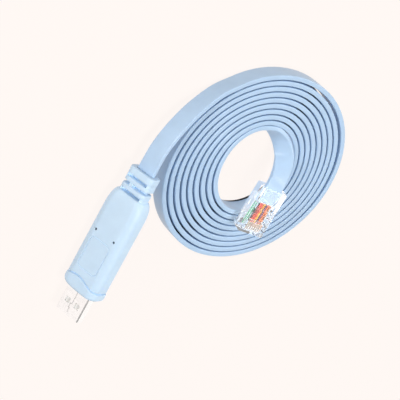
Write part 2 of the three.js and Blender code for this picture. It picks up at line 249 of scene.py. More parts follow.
def carve(piece: Object, tools: Sequence[Object], operation: str = "DIFFERENCE") -> None:
    """Cuts objects out of a piece, or joins them to it, and removes them.

    Args:
        piece: The piece, which ends as a plain mesh.
        tools: The cutting or joining objects, in order.
        operation: DIFFERENCE or UNION.
    """
    for number, tool in enumerate(tools):
        step = piece.modifiers.new(f"{operation.lower()}_{number}", "BOOLEAN")
        step.object = tool
        step.operation = operation
        step.solver = "EXACT"
        tool.hide_render = True
    baked(piece)
    for tool in tools:
        bpy.data.objects.remove(tool)


def dress(piece: Object, *finishes: Finish) -> None:
    """Gives a piece its finishes in place of any others."""
    piece.data.materials.clear()
    for finish in finishes:
        piece.data.materials.append(finish)


# Geometry Nodes


@dataclass
class NodeTree:
    """A Geometry Nodes tree under construction, with named inputs."""

    name: str
    tree: bpy.types.GeometryNodeTree = field(init=False)
    values: dict[str, object] = field(default_factory=dict)

    def __post_init__(self) -> None:
        """Makes the empty tree with its geometry in and out."""
        self.tree = bpy.data.node_groups.new(self.name, "GeometryNodeTree")
        self.tree.interface.new_socket("Geometry", in_out="INPUT", socket_type="NodeSocketGeometry")
        self.tree.interface.new_socket("Geometry", in_out="OUTPUT", socket_type="NodeSocketGeometry")
        self.entry = self.add("NodeGroupInput")
        self.exit = self.add("NodeGroupOutput")

    def add(self, kind: str, **settings: object) -> bpy.types.Node:
        """Adds a node and sets its named settings.

        Args:
            kind: The node's type.
            **settings: Node settings by name.

        Returns:
            The node.
        """
        node = self.tree.nodes.new(kind)
        for key, value in settings.items():
            setattr(node, key, value)
        return node

    def size(self, name: str, value: float | int) -> Socket:
        """Adds a named number input to the tree.

        Args:
            name: Name of the size.
            value: Its value, in metres or a whole number.

        Returns:
            The socket that gives the value inside the tree.
        """
        kind = "NodeSocketInt" if isinstance(value, int) else "NodeSocketFloat"
        self.tree.interface.new_socket(name, in_out="INPUT", socket_type=kind)
        self.values[name] = value
        return self.entry.outputs[name]

    def link(self, source: Socket, target: Socket) -> None:
        """Joins two sockets."""
        self.tree.links.new(source, target)

    def curve(self) -> Socket:
        """Turns the tree's own line into a curve."""
        line = self.add("GeometryNodeMeshToCurve")
        self.link(self.entry.outputs["Geometry"], line.inputs["Mesh"])
        return line.outputs["Curve"]

    def sweep(self, curve: Socket, section: Socket, finish: Finish) -> None:
        """Ends the tree in a closed section swept along a curve, with flat ends.

        Args:
            curve: The curve.
            section: The section.
            finish: Material of the piece.
        """
        swept = self.add("GeometryNodeCurveToMesh")
        swept.inputs["Fill Caps"].default_value = True
        smooth = self.add("GeometryNodeSetShadeSmooth")
        self.link(curve, swept.inputs["Curve"])
        self.link(section, swept.inputs["Profile Curve"])
        self.link(swept.outputs["Mesh"], smooth.inputs["Geometry"])
        self.close(smooth.outputs["Geometry"], finish)

    def close(self, geometry: Socket, finish: Finish) -> None:
        """Ends the tree in Realize Instances and Set Material.

        Args:
            geometry: The finished geometry.
            finish: Material of the piece.
        """
        real = self.add("GeometryNodeRealizeInstances")
        dressed = self.add("GeometryNodeSetMaterial")
        dressed.inputs["Material"].default_value = finish
        self.link(geometry, real.inputs["Geometry"])
        self.link(real.outputs["Geometry"], dressed.inputs["Geometry"])
        self.link(dressed.outputs["Geometry"], self.exit.inputs["Geometry"])

    def apply(self, mesh: bpy.types.Mesh) -> Object:
        """Runs the tree on a mesh and keeps the result as a plain piece.

        Args:
            mesh: The mesh that the tree starts from, which gives the piece its name.

        Returns:
            The piece.
        """
        piece = shown(mesh)
        modifier = piece.modifiers.new(self.name, "NODES")
        modifier.node_group = self.tree
        for item in self.tree.interface.items_tree:
            if item.in_out == "INPUT" and item.name in self.values:
                modifier[item.identifier] = self.values[item.name]
        return baked(piece)


# Finishes


def shade(colour: Sequence[float], factor: float) -> tuple[float, float, float, float]:
    """A colour made lighter or darker, as RGBA."""
    return (min(colour[0] * factor, 1), min(colour[1] * factor, 1), min(colour[2] * factor, 1), 1)


def grey(level: float) -> tuple[float, float, float, float]:
    """A grey of that level, as RGBA."""
    return (level, level, level, 1)


def arithmetic(tree: Tree, operation: str, *values: Socket | float, clamp: bool = False) -> Socket:
    """Adds a math node.

    Args:
        tree: The shader nodes.
        operation: What it works out.
        *values: Its inputs in order, each a socket or a number.
        clamp: Whether the result stays between 0 and 1.

    Returns:
        The result's socket.
    """
    node = tree.nodes.new("ShaderNodeMath")
    node.operation = operation
    node.use_clamp = clamp
    for entry, value in zip(node.inputs, values):
        if isinstance(value, Socket):
            tree.links.new(value, entry)
        else:
            entry.default_value = value
    return node.outputs["Value"]


class Skin:
    """A material with a Principled shader under construction."""

    ramp_ends: Pair = (0.3, 0.7)

    def __init__(self, name: str, values: dict[str, object] | None = None) -> None:
        """Makes the material.

        Args:
            name: Name of the material.
            values: Even values of the shader, by input.
        """
        self.material = bpy.data.materials.new(name)
        self.material.use_nodes = True
        self.tree = self.material.node_tree
        self.shader = self.tree.nodes["Principled BSDF"]
        for entry, value in (values or {}).items():
            self.shader.inputs[entry].default_value = value

    def noise(self, scale: Point, detail: float, roughness: float) -> Socket:
        """Adds a noise pattern on object coordinates.

        Args:
            scale: Waves a metre along x, y and z.
            detail: Octaves of finer noise.
            roughness: Strength of the finer noise.

        Returns:
            The noise's strength.
        """
        coordinates = self.tree.nodes.new("ShaderNodeTexCoord")
        mapping = self.tree.nodes.new("ShaderNodeMapping")
        mapping.inputs["Scale"].default_value = scale
        noise = self.tree.nodes.new("ShaderNodeTexNoise")
        noise.inputs["Scale"].default_value = 1.0
        noise.inputs["Detail"].default_value = detail
        noise.inputs["Roughness"].default_value = roughness
        self.tree.links.new(coordinates.outputs["Object"], mapping.inputs["Vector"])
        self.tree.links.new(mapping.outputs["Vector"], noise.inputs["Vector"])
        return noise.outputs["Fac"]

    def vary(self, entry: str, source: Socket, low: RoutePoint, high: RoutePoint) -> None:
        """Lets an input of the shader vary between two colours over the middle of a noise.

        Args:
            entry: Name of the input.
            source: The noise.
            low: First colour, RGBA.
            high: Second colour, RGBA.
        """
        ramp = self.tree.nodes.new("ShaderNodeValToRGB")
        for element, position, colour in zip(ramp.color_ramp.elements, self.ramp_ends, (low, high)):
            element.position = position
            element.color = colour
        self.tree.links.new(source, ramp.inputs["Fac"])
        self.tree.links.new(ramp.outputs["Color"], self.shader.inputs[entry])

    def bump(self, source: Socket, strength: float, distance: float) -> None:
        """Raises the surface by a noise.

        Args:
            source: The noise.
            strength: Strength of the relief.
            distance: Its depth, in millimetres.
        """
        bump = self.tree.nodes.new("ShaderNodeBump")
        bump.inputs["Strength"].default_value = strength
        bump.inputs["Distance"].default_value = distance * MM
        self.tree.links.new(source, bump.inputs["Height"])
        self.tree.links.new(bump.outputs["Normal"], self.shader.inputs["Normal"])


@dataclass(frozen=True)
class SoftPlastic:
    """Soft matte moulding with cloudy colour, a fine moulded grain and a little light under its skin."""

    name: str
    colour: Point
    roughness: float = 0.5
    spread: float = 0.06
    variation: float = 0.03
    cloud_waves: float = 160.0
    grain_waves: float = 5200.0
    grain_depth: float = 0.12
    glow: float = 0.12
    glow_depth: float = 1.2

    def material(self) -> Finish:
        """Builds the material.

        Returns:
            The material.
        """
        values = {
            "Subsurface Weight": self.glow,
            "Subsurface Radius": (0.5, 0.7, 1.0),
            "Subsurface Scale": self.glow_depth * MM,
            "IOR": 1.5,
        }
        skin = Skin(self.name, values)
        clouds = skin.noise((self.cloud_waves,) * 3, 4.0, 0.6)
        low, high = shade(self.colour, 1 - self.variation), shade(self.colour, 1 + self.variation)
        skin.vary("Base Color", clouds, low, high)
        grain = skin.noise((self.grain_waves,) * 3, 2.0, 0.5)
        skin.vary("Roughness", grain, grey(self.roughness - self.spread), grey(self.roughness + self.spread))
        skin.bump(grain, self.grain_depth, 0.05)
        return skin.material


@dataclass(frozen=True)
class PlatedMetal:
    """Thin plated sheet with a lengthwise brush and faint handling marks."""

    name: str
    colour: Point
    roughness: float = 0.24
    spread: Pair = (0.07, 0.1)
    along: float = 90.0
    across: float = 9000.0
    mark_waves: float = 420.0
    mark_shades: Pair = (0.93, 1.03)

    def material(self) -> Finish:
        """Builds the material.

        Returns:
            The material.
        """
        skin = Skin(self.name, {"Metallic": 1.0})
        brush = skin.noise((self.along, self.across, self.across), 3.0, 0.6)
        less, more = self.spread
        skin.vary("Roughness", brush, grey(self.roughness - less), grey(self.roughness + more))
        marks = skin.noise((self.mark_waves,) * 3, 5.0, 0.65)
        skin.vary("Base Color", marks, *(shade(self.colour, factor) for factor in self.mark_shades))
        skin.bump(brush, 0.08, 0.01)
        return skin.material


@dataclass(frozen=True)
class ClearPlastic:
    """Clear moulded plastic with slight flow waves and a faint painted glow, as if lit from within."""

    name: str
    roughness: float = 0.03
    spread: float = 0.04
    waves: float = 350.0
    wave_depth: float = 0.25
    clarity: float = 1.0
    bend: float = 1.14
    painted_glow: float = 0.08

    def material(self) -> Finish:
        """Builds the material.

        Returns:
            The material.
        """
        values = {
            "Base Color": grey(1.0),
            "Transmission Weight": self.clarity,
            "IOR": self.bend,
            # Painted glow: a faint warm light given off by the clear plastic itself.
            "Emission Color": (1.0, 0.98, 0.96, 1),
            "Emission Strength": self.painted_glow,
        }
        skin = Skin(self.name, values)
        waves = skin.noise((self.waves,) * 3, 2.0, 0.5)
        skin.vary("Roughness", waves, grey(self.roughness), grey(self.roughness + self.spread))
        skin.bump(waves, self.wave_depth, 0.05)
        return skin.material


class Finishes:
    """Every finish of the cable, made once."""

    def __init__(self) -> None:
        """Makes the materials."""
        blue = (0.61, 0.79, 0.98)
        self.housing = SoftPlastic("housing_soft_plastic", blue, roughness=0.45, glow=0.06).material()
        self.jacket = SoftPlastic(
            "ribbon_jacket", (0.5, 0.68, 0.9), roughness=0.34, grain_waves=2600.0, grain_depth=0.06, glow=0.03
        ).material()
        self.lens = SoftPlastic("smoked_lens", (0.012, 0.012, 0.015), roughness=0.15, glow=0.0).material()
        self.steel = PlatedMetal("plated_steel", (0.96, 0.96, 0.97)).material()
        self.gold = PlatedMetal("contact_gold", (1.0, 0.86, 0.74), roughness=0.3, across=4000.0).material()
        white = (0.9, 0.9, 0.88)
        self.insulator = SoftPlastic("insulator_plastic", white, roughness=0.4, glow=0.05).material()
        self.clear = ClearPlastic("clear_plastic").material()
        # Bevelled edges of the clear plug: rougher and less clear plastic, plus a strong painted highlight
        # glow.
        edge = ClearPlastic("clear_plastic_edge", roughness=0.2, clarity=0.4, painted_glow=0.8)
        self.clear_edge_highlight = edge.material()


# Ribbon cable


@dataclass
class RibbonCable:
    """The flat cable: a free stretch, nine turns of a spiral on their edge, and a twisted lead.

    Pairs hold the inner end's value and the outer end's. An oval is a depth and a direction. A bulge is
    a height, the angle of its middle and its half width. Route points are x, y, z and lean in degrees.
    """

    width: float = 8.1
    thickness: float = 2.1
    edge_radius: float = 0.5
    centres: tuple[Pair, Pair] = ((46.64, -53.15), (46.58, -52.15))
    ovals: tuple[Pair, Pair] = ((0.88, 14.0), (0.78, 110.0))
    bulges: tuple[Point, ...] = ((0.75, 9 * TURN - 65.0, 80.0), (0.45, 30.0, 75.0))
    first_radius: float = 18.4
    pitch: float = 2.77
    inner_angle: float = 24.0
    outer_angle: float = 9 * TURN + 42.0
    landing_angle: float = 9 * TURN + 16.0
    outer_lift: float = 0.3
    step_angle: float = 4.0
    exit_point: Point = (34.1, 0.0, 9.4)
    tail: tuple[RoutePoint, ...] = (
        (38.8, -0.1, 9.4, 20.6),
        (44.5, -0.5, 9.2, 19.0),
        (52.2, -2.6, 8.6, 16.0),
        (60.6, -6.5, 7.5, 12.0),
        (67.6, -11.4, 6.2, 7.0),
        (73.6, -16.9, 5.0, 3.0),
    )
    lead: tuple[RoutePoint, ...] = (
        (65.5, -50.3, 4.2, -9.0),
        (64.9, -53.8, 4.5, -22.0),
        (63.2, -57.5, 5.1, -31.0),
        (60.3, -60.9, 6.4, -40.0),
        (56.6, -62.9, 8.6, -51.0),
        (52.6, -62.9, 11.0, -63.0),
        (48.6, -61.9, 13.2, -73.0),
    )
    samples_per_leg: int = 10
    corner_steps: int = 6

    def coil_points(self) -> list[RoutePoint]:
        """Points of the spiral from its outer end to its inner end.

        Returns:
            The route points.
        """
        count = round((self.outer_angle - self.inner_angle) / self.step_angle)
        points = []
        for i in range(count + 1):
            angle = self.outer_angle + (self.inner_angle - self.outer_angle) * i / count
            turn = math.radians(angle)
            out = angle / self.outer_angle
            radius = self.first_radius + self.pitch * angle / TURN
            for (depth, direction), share in zip(self.ovals, (1 - out, out)):
                radius += share * depth * math.cos(2 * (turn - math.radians(direction)))
            for rise, middle, half in self.bulges:
                off = min(abs(angle - middle) / half, 1.0)
                radius += rise * math.cos(off * math.pi / 2) ** 2
            free = max(0.0, (angle - self.landing_angle) / (self.outer_angle - self.landing_angle))
            height = self.width / 2 + self.outer_lift * free * free
            centre = Vector(self.centres[0]).lerp(Vector(self.centres[1]), out)
            place = centre + Vector((math.cos(turn), math.sin(turn))) * radius
            points.append((place.x, place.y, height, 0.0))
        return points

    def free_stretch(self, points: Sequence[RoutePoint]) -> list[RoutePoint]:
        """Dense points on a smooth centripetal curve through the inner ones of some chosen points.

        Args:
            points: Chosen route points, with one spare point at each end.

        Returns:
            Route points from the second chosen one up to the last but one, without that one.
        """
        chosen = [Vector(p) for p in points]
        spans = (((0, 1), (1, 2), (2, 3)), ((0, 2), (1, 3)), ((1, 2),))
        result: list[RoutePoint] = []
        for i in range(1, len(chosen) - 2):
            legs = chosen[i - 1 : i + 3]
            knots = [0.0]
            for a, b in zip(legs, legs[1:]):
                knots.append(knots[-1] + math.sqrt((b.xyz - a.xyz).length))
            for s in range(self.samples_per_leg):
                t = knots[1] + (knots[2] - knots[1]) * s / self.samples_per_leg
                level = legs
                for pairs in spans:
                    level = [
                        level[k].lerp(level[k + 1], (t - knots[a]) / (knots[b] - knots[a]))
                        for k, (a, b) in enumerate(pairs)
                    ]
                result.append(tuple(level[0]))
        return result

    def route(self, entry: Sequence[RoutePoint]) -> list[RoutePoint]:
        """The whole centreline from the strain relief to the clear plug.

        Args:
            entry: The last points, in the clear plug's pocket.

        Returns:
            The route points.
        """
        coil = self.coil_points()
        start = Vector((*self.exit_point, self.tail[0][3]))
        before = start * 2 - Vector(self.tail[0])
        tail = self.free_stretch([tuple(before), tuple(start), *self.tail, coil[0], coil[2]])
        after = Vector(entry[-1]) * 2 - Vector(entry[-2])
        lead = self.free_stretch([coil[-3], coil[-1], *self.lead, *entry, tuple(after)])
        return [*tail, *coil[:-1], *lead, entry[-1]]

    def build(self, entry: Sequence[RoutePoint], finish: Finish) -> tuple[Object, list[Vector]]:
        """Sweeps the ribbon's section along its route.

        Args:
            entry: The last points, in the clear plug's pocket.
            finish: The jacket's material.

        Returns:
            The ribbon and the points that it follows, in metres.
        """
        route = self.route(entry)
        points = [Vector(p[:3]) * MM for p in route]
        mesh = line_of("ribbon_cable", points)
        lean = mesh.attributes.new("lean", "FLOAT", "POINT")
        lean.data.foreach_set("value", [math.radians(p[3]) for p in route])
        nodes = NodeTree("ribbon_sweep")
        width = nodes.size("Width", self.width * MM)
        thickness = nodes.size("Thickness", self.thickness * MM)
        radius = nodes.size("Edge radius", self.edge_radius * MM)
        steps = nodes.size("Corner steps", self.corner_steps)
        upright = nodes.add("GeometryNodeSetCurveNormal", mode="Z_UP")
        tilt = nodes.add("GeometryNodeSetCurveTilt")
        leaning = nodes.add("GeometryNodeInputNamedAttribute", data_type="FLOAT")
        leaning.inputs["Name"].default_value = "lean"
        section = nodes.add("GeometryNodeCurvePrimitiveQuadrilateral")
        fillet = nodes.add("GeometryNodeFilletCurve", mode="POLY")
        nodes.link(nodes.curve(), upright.inputs["Curve"])
        nodes.link(upright.outputs["Curve"], tilt.inputs["Curve"])
        nodes.link(leaning.outputs["Attribute"], tilt.inputs["Tilt"])
        nodes.link(thickness, section.inputs["Width"])
        nodes.link(width, section.inputs["Height"])
        nodes.link(section.outputs["Curve"], fillet.inputs["Curve"])
        nodes.link(radius, fillet.inputs["Radius"])
        nodes.link(steps, fillet.inputs["Count"])
        nodes.sweep(tilt.outputs["Curve"], fillet.outputs["Curve"], finish)
        return nodes.apply(mesh), points


# USB plug


@dataclass
class UsbPlug:
    """The moulded housing with its nose cap and slotted strain relief, and the metal plug.

    Its local frame has x from the tip to the cable, y across and z through the thickness. The nose
    groove holds distances from the nose cap's end, each with a share of how far the cap stands proud.
    """

    lean: float = 20.6
    shell_width: float = 12.0
    shell_thickness: float = 4.5
    shell_wall: float = 0.3
    shell_corner: float = 0.6
    shell_exposed: float = 11.6
    shell_seated: float = 4.0
    shell_fit: float = 0.12
    shell_crease: float = 40.0
    rim: float = 0.08
    window: float = 2.3
    window_spacing: float = 5.2
    window_from_tip: float = 5.6
    seam: float = 0.22
    seam_jog: float = 0.75
    seam_side: float = 0.3
    seam_turns: Pair = (3.1, 5.4)
    width: float = 18.0
    thickness: float = 10.5
    corner: float = 4.0
    crease: float = 50.0
    nose_proud: float = 0.3
    nose_bulge: Pair = (1.7, 0.5)
    nose_power: float = 2.6
    nose_length: float = 4.9
    nose_wave: float = 1.1
    nose_wave_start: float = -3.0
    nose_wave_half: float = 10.0
    nose_rounding: float = 1.5
    nose_steps: int = 7
    nose_blend_from: float = -0.6
    nose_blend: float = 0.6
    nose_groove: tuple[Pair, ...] = (
        (-1.4, 1.0),
        (-0.5, 1.0),
        (-0.22, 1.0),
        (-0.1, 0.75),
        (-0.02, 0.0),
        (0.04, -2.0),
        (0.22, -2.6),
        (0.38, -2.0),
        (0.46, -0.6),
        (0.58, -0.1),
        (0.8, 0.0),
    )
    body_length: float = 41.0
    shoulder: float = 8.0
    shoulder_steps: int = 20
    label_length: float = 14.0
    label_width: float = 10.0
    label_corner: float = 1.7
    label_groove: float = 0.27
    label_from_nose: float = 5.0
    light_radius: float = 0.55
    light_depth: float = 1.5
    light_sunk: float = 0.4
    light_spacing: float = 10.0
    light_from_label: float = 2.8
    relief_width: float = 12.6
    relief_thickness: float = 7.6
    relief_corner: float = 2.6
    relief_edge: float = 0.3
    slot_count: int = 3
    slot_width: float = 1.3
    ring_width: float = 1.9
    collar: float = 3.0
    slot_depth: float = 2.9
    slot_rail: float = 1.3
    slot_bridge: float = 1.5
    bridge_offset: float = 1.6
    bridge_slope: float = 0.35
    mouth: Point = (8.6, 3.0, 1.2)
    outline_steps: tuple[int, int, int] = (14, 34, 8)
    place: Matrix = field(default_factory=Matrix)

    def settle(self) -> None:
        """Takes the plug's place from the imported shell."""
        low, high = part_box("usb_shell")
        turned = Matrix.Rotation(math.radians(self.lean - QUARTER_TURN), 4, "X")
        self.place = Matrix.Translation((low.x, (low.y + high.y) / 2, (low.z + high.z) / 2)) @ turned

    @property
    def nose_end(self) -> float:
        """Where the nose cap ends, from the tip."""
        return self.shell_exposed + self.nose_length

    @property
    def body_end(self) -> float:
        """Where the shoulders end, from the tip."""
        return self.nose_end + self.body_length

    @property
    def body(self) -> Point:
        """Section of the body: width, thickness and corner radius."""
        return (self.width, self.thickness, self.corner)

    @property
    def relief(self) -> Point:
        """Section of the strain relief: width, thickness and corner radius."""
        return (self.relief_width, self.relief_thickness, self.relief_corner)

    @property
    def light_x(self) -> float:
        """Where the two small lights lie, from the tip."""
        return self.nose_end + self.label_from_nose + self.label_length + self.light_from_label

    def at(self, x: float, y: float, z: float) -> Vector:
        """A point of the plug's frame, in metres in the scene."""
        return self.place @ (Vector((x, y, z)) * MM)

    def wave(self, y: float) -> float:
        """How far the nose cap's S-shaped step stands off its middle at a place across the plug."""
        return self.nose_wave * math.sin(math.pi * (y - self.nose_wave_start) / self.nose_wave_half)

    def ring(
        self,
        x: float,
        size: Point,
        proud: float = 0.0,
        shift: Callable[[float], float] | None = None,
        sink: Callable[[float], float] | None = None,
    ) -> list[Vector]:
        """One ring of the plug's skin.

        Args:
            x: Distance from the tip.
            size: Width, thickness and corner radius of the section.
            proud: How far the ring stands out of that section.
            shift: Extra distance along the plug, by place across it.
            sink: How far the wide faces sink, by place across the plug.

        Returns:
            Points in metres.
        """
        width, thickness, corner = size
        least_corner, least_half = 0.05, 0.4
        grown = (width + 2 * proud, thickness + 2 * proud, max(corner + proud, least_corner))
        points = []
        for y, z in outline_of(*grown, self.outline_steps):
            along = x + (shift(y) if shift else 0.0)
            depth = sink(y) if sink else 0.0
            inner = max(abs(z) - depth, least_half) if depth else abs(z)
            on_side = abs(z) < thickness / 2 - corner * 0.3
            squeeze = 1 - depth / (width / 2) if depth and on_side else 1.0
            points.append(self.at(along, y * squeeze, math.copysign(inner, z)))
        return points

    def nose_shift(self, share: float) -> Callable[[float], float]:
        """Shift along the plug by place across it, between the front's roundness and the step's wave.

        Args:
            share: The step's share, from 0 to 1.

        Returns:
            The shift as a function of the place across.
        """

        def shift(y: float) -> float:
            """Shift at a place across the plug."""
            bulge = self.nose_bulge[0] if y > 0 else self.nose_bulge[1]
            front = bulge * min(abs(y) / (self.width / 2), 1.05) ** self.nose_power
            return (1 - share) * front + share * self.wave(y)

        return shift

    def nose_rings(self) -> list[list[Vector]]:
        """Rings of the nose cap and of the groove behind it."""
        seat = (self.shell_width + 1, self.shell_thickness + 1, self.shell_corner + 0.5)
        rings = [self.ring(self.shell_exposed + 0.05, seat)]
        for step in range(self.nose_steps + 1):
            turn = step / self.nose_steps * math.pi / 2
            x = self.shell_exposed + self.nose_rounding * (1 - math.cos(turn))
            inset = self.nose_rounding * (1 - math.sin(turn))
            shift = self.nose_shift(0.12 * step / self.nose_steps)
            rings.append(self.ring(x, self.body, self.nose_proud - inset, shift))
        for offset, proud in self.nose_groove:
            shift = self.nose_shift(1.0 if offset > self.nose_blend_from else self.nose_blend)
            rings.append(self.ring(self.nose_end + offset, self.body, self.nose_proud * proud, shift))
        rings.append(self.ring(self.nose_end + 2.4, self.body, 0.0, lambda y: 0.4 * self.wave(y)))
        return rings

    def body_rings(self) -> list[list[Vector]]:
        """Rings of the straight body and its round shoulders."""
        start, straight, count = self.nose_end + 4.5, self.body_end - self.shoulder, 12
        rings = [self.ring(start + (straight - start) * i / count, self.body) for i in range(count + 1)]
        for step in range(1, self.shoulder_steps + 1):
            turn = step / self.shoulder_steps * math.pi / 2
            draw = 1 - math.cos(turn)
            section = tuple(a + (b - a) * draw for a, b in zip(self.body, self.relief))
            rings.append(self.ring(straight + self.shoulder * math.sin(turn), section))
        return rings

    def sink(self, slot: int, share: float) -> Callable[[float], float]:
        """Depth of one slot of the strain relief by place across the plug.

        Args:
            slot: Number of the slot from the body.
            share: Share of the slot's full depth.

        Returns:
            The depth as a function of the place across.
        """

        def depth(y: float) -> float:
            """Depth at a place across the plug."""
            if slot % 2:
                clear = abs(y - self.bridge_offset) - self.slot_bridge / 2
                return share * self.slot_depth * min(max(clear / self.bridge_slope, 0.0), 1.0)
            reach = min(abs(y) / (self.relief_width / 2 - self.slot_rail), 1.0)
            return share * self.slot_depth * (1 - reach**7)

        return depth

    def relief_rings(self) -> list[list[Vector]]:
        """Rings of the slotted strain relief and its collar."""
        edge, size = self.relief_edge, self.relief
        rings = []
        x = self.body_end
        for slot in range(self.slot_count):
            end = x + self.slot_width
            walls = (
                (x + 0.02, 0.02, 0.08),
                (x + 0.12, 0.04, 1.0),
                ((x + end) / 2, 0.06, 1.0),
                (end - 0.1, 0.06, 1.0),
                (end, edge * 0.6, 0.1),
            )
            rings += [self.ring(at, size, -inset, sink=self.sink(slot, share)) for at, inset, share in walls]
            last = slot == self.slot_count - 1
            ring_end = end + (self.collar if last else self.ring_width)
            rounds = [(end, turn, 0.7) for turn in (0.4, 0.75, 1.0)]
            rounds += [((end + ring_end) / 2, 0.0, 0.0)]
            rounds += [(ring_end, -turn, 0.8) for turn in (1.0, 0.75, 0.4, 0.12)]
            for base, turn, share in rounds:
                inset = edge * (1 - math.sin(abs(turn) * math.pi / 2)) * share
                rings.append(self.ring(base + edge * turn, size, -inset))
            x = ring_end
        rings.append(self.ring(x, size, -edge))
        rings.append(self.ring(x, self.mouth, 0.15))
        rings += [self.ring(x - depth, self.mouth) for depth in (0.12, 0.8)]
        return rings

    def groove_cutter(self) -> Object:
        """A thin closed hoop round the label's outline on the face."""
        steps = 8
        outline = outline_of(self.label_length, self.label_width, self.label_corner, (8, 10, 8))
        middle_x = self.nose_end + self.label_from_nose + self.label_length / 2
        rings = []
        for i, (x, y) in enumerate(outline):
            ahead, behind = outline[(i + 1) % len(outline)], outline[i - 1]
            outward = Vector((ahead[1] - behind[1], behind[0] - ahead[0])).normalized()
            ring = []
            for s in range(steps):
                turn = 2 * math.pi * s / steps
                out = outward * self.label_groove * math.cos(turn)
                up = self.label_groove * math.sin(turn)
                ring.append(self.at(middle_x + x + out.x, y + out.y, self.thickness / 2 + up))
            rings.append(ring)
        return shown(lofted("label_hoop", rings, closed=True))

    def posts(self, name: str, low: float, high: float, radius: float) -> list[Object]:
        """Two round posts that stand on the wide face, where the small lights are.

        Args:
            name: Start of their names.
            low: Lower end through the thickness.
            high: Upper end through the thickness.
            radius: Radius of the posts.

        Returns:
            The posts.
        """
        sides = 24
        turns = [2 * math.pi * i / sides for i in range(sides)]
        posts = []
        for side in (-1, 1):
            y = side * self.light_spacing / 2
            rings = [
                [
                    self.at(self.light_x + scale * radius * math.cos(t), y + scale * radius * math.sin(t), z)
                    for t in turns
                ]
                for z, scale in ((low, 1.0), (high - radius * 0.4, 1.0), (high, 0.75))
            ]
            posts.append(shown(lofted(f"{name}_{side}", rings)))
        return posts

    def housing(self, finish: Finish) -> Object:
        """The moulded housing in one piece.

        Args:
            finish: The housing's material.

        Returns:
            The piece.
        """
        rings = self.nose_rings() + self.body_rings() + self.relief_rings()
        piece = shown(lofted("moulded_housing", rings))
        half_width = self.shell_width / 2 + self.shell_fit
        half_thickness = self.shell_thickness / 2 + self.shell_fit
        low = (self.shell_exposed - 2, -half_width, -half_thickness)
        high = (self.shell_exposed + self.shell_seated + 0.3, half_width, half_thickness)
        face = self.thickness / 2
        holes = self.posts("hole", face - self.light_depth, face + 1, self.light_radius)
        carve(piece, [block("socket", low, high, self.place), self.groove_cutter(), *holes])
        piece.data.set_sharp_from_angle(angle=math.radians(self.crease))
        dress(piece, finish)
        return piece

    def lenses(self, finish: Finish) -> Object:
        """The dark lenses sunk into the two light holes, as one piece."""
        face, slack = self.thickness / 2, 0.03
        low, high = face - self.light_depth + 0.05, face - self.light_sunk
        return joined("status_lenses", self.posts("lens", low, high, self.light_radius - slack), finish)

    def shell(self, finish: Finish) -> Object:
        """The folded metal shell with its windows and its seam.

        Args:
            finish: The shell's material.

        Returns:
            The piece.
        """
        wall, rim = self.shell_wall, self.rim
        outer = (self.shell_width, self.shell_thickness, self.shell_corner)
        inner = (self.shell_width - 2 * wall, self.shell_thickness - 2 * wall, self.shell_corner - wall)
        end = self.shell_exposed + self.shell_seated
        rings = [self.ring(end * i / 6, outer) for i in range(6, 0, -1)]
        rings += [self.ring(rim, outer), self.ring(0.0, outer, -rim), self.ring(0.0, inner, rim)]
        rings += [self.ring(0.25, inner), self.ring(end - wall, inner)]
        piece = shown(lofted("metal_shell", rings))
        through, half = self.shell_thickness, self.window / 2
        cutters = []
        for side in (-1, 1):
            y = side * self.window_spacing / 2
            low = (self.window_from_tip - half, y - half, -through)
            high = (self.window_from_tip + half, y + half, through)
            cutters.append(block(f"window_{side}", low, high, self.place))
        line, jog, aside = self.seam / 2, self.seam_jog, self.seam_side
        near, far = self.seam_turns
        runs = (
            ((far, -line), (self.shell_exposed + 1, line)),
            ((far - self.seam, -line), (far, jog + line)),
            ((near, jog - line), (far, jog + line)),
            ((near, aside), (near + self.seam, jog + line)),
            ((-1.0, aside - line), (near + self.seam, aside + line)),
        )
        for number, ((x0, y0), (x1, y1)) in enumerate(runs):
            cutters.append(block(f"seam_{number}", (x0, y0, wall * 2), (x1, y1, through), self.place))
        carve(piece, cutters)
        piece.data.set_sharp_from_angle(angle=math.radians(self.shell_crease))
        dress(piece, finish)
        return piece


# Clear modular plug


